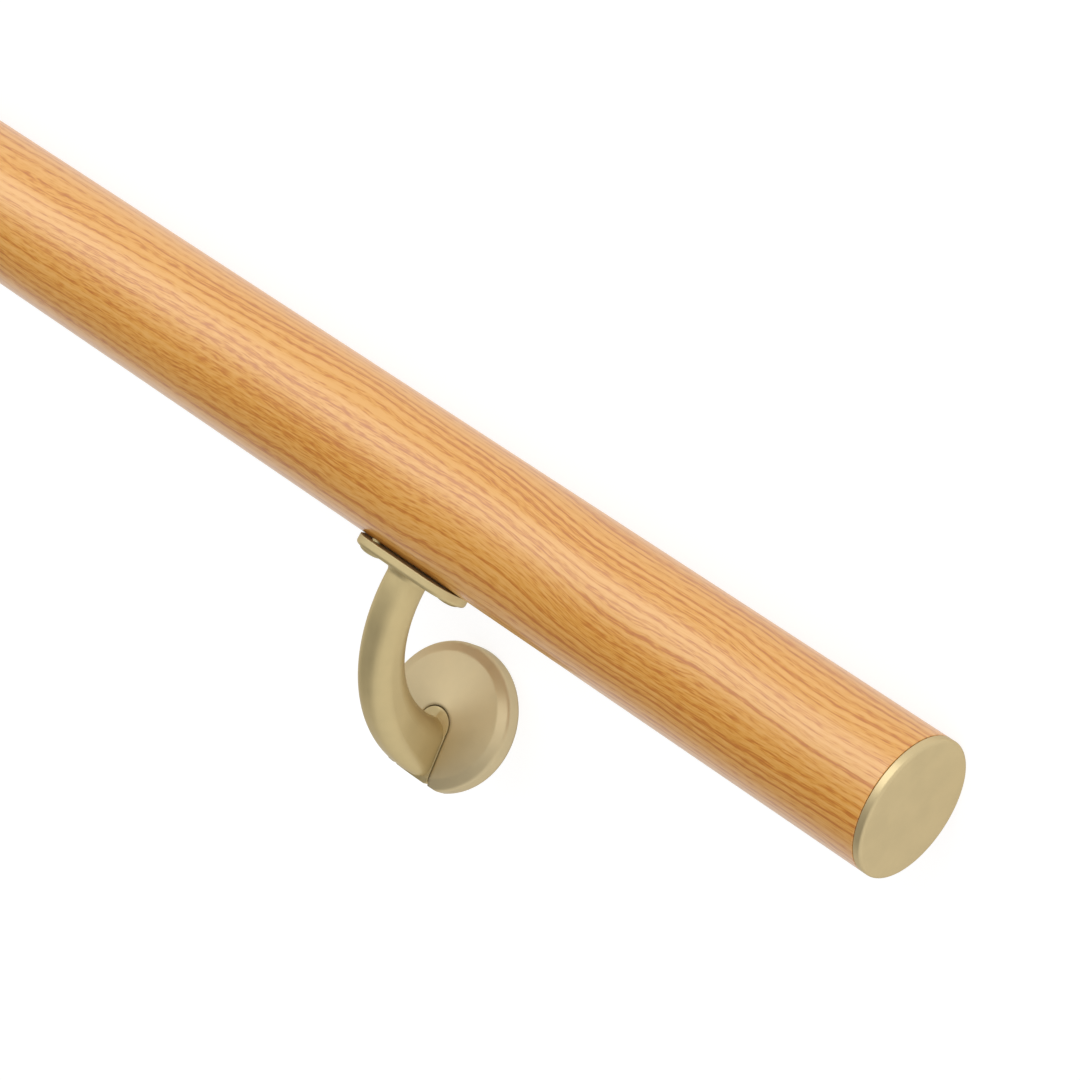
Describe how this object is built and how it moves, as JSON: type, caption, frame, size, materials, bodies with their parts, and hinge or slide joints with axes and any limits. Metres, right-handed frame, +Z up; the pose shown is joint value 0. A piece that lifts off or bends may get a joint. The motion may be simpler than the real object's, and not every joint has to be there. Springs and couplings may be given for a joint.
{
  "type": "stair handrail length",
  "caption": "Round handrail length with a woodgrain finish, brass-coloured end caps and curved wall brackets with round rose covers.",
  "frame": {"origin": "centre of the bounding box's base, on the floor that the handrail lies on", "axes": "+X along the rail, from the lower end to the upper end; +Z up from the floor; +Y from the rail towards the wall roses"},
  "size_m": [1.2068, 0.1426, 0.0618],
  "materials": {
    "woodgrain_film": "aluminium tube wrapped in a satin light-oak woodgrain film",
    "cap_brass": "satin champagne brass, fine turned brushing",
    "bracket_brass": "satin champagne brass plating over a smooth casting",
    "rose_brass": "satin champagne brass, fine turned brushing",
    "screw_brass": "satin brass plating"
  },
  "bodies": {
    "root": {"rail_tube": "woodgrain_film", "end_cap_lower": "cap_brass", "end_cap_upper": "cap_brass", "wall_bracket_lower": "bracket_brass", "wall_bracket_upper": "bracket_brass", "rose_cover_lower": "rose_brass", "rose_cover_upper": "rose_brass", "saddle_screw_lower_front": "screw_brass", "saddle_screw_lower_back": "screw_brass", "saddle_screw_upper_front": "screw_brass", "saddle_screw_upper_back": "screw_brass"}
  },
  "joints": []
}
